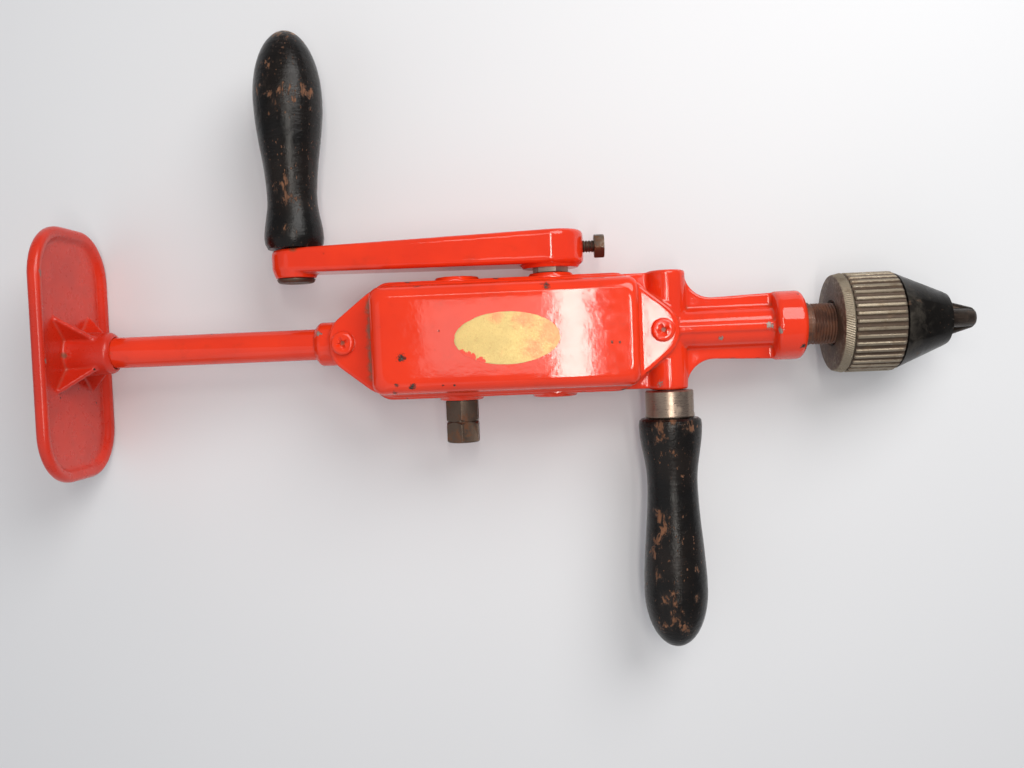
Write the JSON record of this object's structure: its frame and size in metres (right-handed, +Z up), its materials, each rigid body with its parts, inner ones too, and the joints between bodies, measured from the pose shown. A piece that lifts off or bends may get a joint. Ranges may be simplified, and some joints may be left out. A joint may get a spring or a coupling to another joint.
{
  "type": "geared hand drill",
  "caption": "Hand-cranked geared drill with a breast plate, a boxed gear housing, a wooden crank handle, a wooden side handle and a keyless three-jaw chuck.",
  "frame": {"origin": "middle of the underside of the drill lying on its back", "axes": "+X along the spindle towards the chuck, +Y along the crank shaft towards the crank, +Z up, away from the floor"},
  "size_m": [0.4082, 0.2834, 0.065],
  "materials": {
    "enamel": "glossy vermilion enamel, chipped on edges",
    "dark_steel": "dull, browned with light rust",
    "black_oxide": "mottled black oxide, worn at edges",
    "knurled_steel": "worn knurl with brown grooves",
    "bright_steel": "satin bright steel",
    "gear_steel": "machined and oiled",
    "bronze": "oiled bearing bronze",
    "lacquered_wood": "black lacquer worn through to brown wood"
  },
  "bodies": {
    "housing": {"gear_housing": "enamel", "housing_cover": "enamel", "cover_screw_rear": "enamel", "cover_screw_front": "enamel", "back_tube": "dark_steel", "breast_plate": "enamel", "crank_bush_outer": "bronze", "crank_bush_inner": "bronze", "countershaft_bush_outer": "bronze", "countershaft_bush_inner": "bronze", "spindle_bush_rear": "bronze", "spindle_bush_front": "bronze", "thrust_washer": "gear_steel", "side_handle_grip": "lacquered_wood", "side_handle_ferrule": "bright_steel", "side_handle_stud": "dark_steel"},
    "crank": {"crank_shaft": "dark_steel", "bevel_gear": "gear_steel", "bevel_gear_pin": "gear_steel", "spur_pinion": "gear_steel", "spur_pinion_pin": "gear_steel", "crank_arm": "enamel", "crank_set_screw": "dark_steel", "handle_axle": "dark_steel"},
    "crank_handle": {"crank_handle_grip": "lacquered_wood"},
    "countershaft": {"countershaft": "dark_steel", "spur_gear": "gear_steel", "spur_gear_pin": "gear_steel"},
    "spindle": {"spindle": "dark_steel", "bevel_pinion": "gear_steel", "bevel_pinion_pin": "gear_steel", "chuck_body": "knurled_steel", "sleeve_retaining_ring": "dark_steel"},
    "sleeve": {"chuck_sleeve": "knurled_steel"},
    "nose": {"chuck_nose": "black_oxide"},
    "jaw_1": {"chuck_jaw_1": "black_oxide"},
    "jaw_2": {"chuck_jaw_2": "black_oxide"},
    "jaw_3": {"chuck_jaw_3": "black_oxide"}
  },
  "joints": [
    {"name": "crank_turn", "type": "hinge", "parent": "housing", "child": "crank", "pos_m": [0.01825, 0.00085, 0.0325], "axis": [0, 1, 0], "continuous": true},
    {"name": "crank_handle_spin", "type": "hinge", "parent": "crank", "child": "crank_handle", "pos_m": [-0.09655, 0.04435, 0.0325], "axis": [0, 1, 0], "continuous": true},
    {"name": "countershaft_turn", "type": "hinge", "parent": "housing", "child": "countershaft", "pos_m": [-0.02375, 0.00085, 0.0325], "axis": [0, 1, 0], "continuous": true},
    {"name": "spindle_turn", "type": "hinge", "parent": "housing", "child": "spindle", "pos_m": [0.03075, 0.00085, 0.0325], "axis": [1, 0, 0], "continuous": true},
    {"name": "chuck_sleeve_turn", "type": "hinge", "parent": "spindle", "child": "sleeve", "pos_m": [0.14655, 0.00085, 0.0325], "axis": [1, 0, 0], "range_deg": [0, 1080]},
    {"name": "chuck_nose_slide", "type": "slide", "parent": "spindle", "child": "nose", "axis": [1, 0, 0], "range_m": [0, 0.012]},
    {"name": "jaw_1_slide", "type": "slide", "parent": "spindle", "child": "jaw_1", "axis": [0, 0, 1], "range_m": [0, 0.00437]},
    {"name": "jaw_2_slide", "type": "slide", "parent": "spindle", "child": "jaw_2", "axis": [0, -0.866, -0.5], "range_m": [0, 0.00437]},
    {"name": "jaw_3_slide", "type": "slide", "parent": "spindle", "child": "jaw_3", "axis": [0, 0.866, -0.5], "range_m": [0, 0.00437]}
  ],
  "couplings": [
    {"joint": "countershaft_turn", "follows": "crank_turn", "ratio": -0.66667},
    {"joint": "spindle_turn", "follows": "crank_turn", "ratio": -2},
    {"joint": "chuck_nose_slide", "follows": "chuck_sleeve_turn", "m_per_rad": 0.00063661},
    {"joint": "jaw_1_slide", "follows": "chuck_sleeve_turn", "m_per_rad": 0.00023171},
    {"joint": "jaw_2_slide", "follows": "chuck_sleeve_turn", "m_per_rad": 0.00023171},
    {"joint": "jaw_3_slide", "follows": "chuck_sleeve_turn", "m_per_rad": 0.00023171}
  ]
}
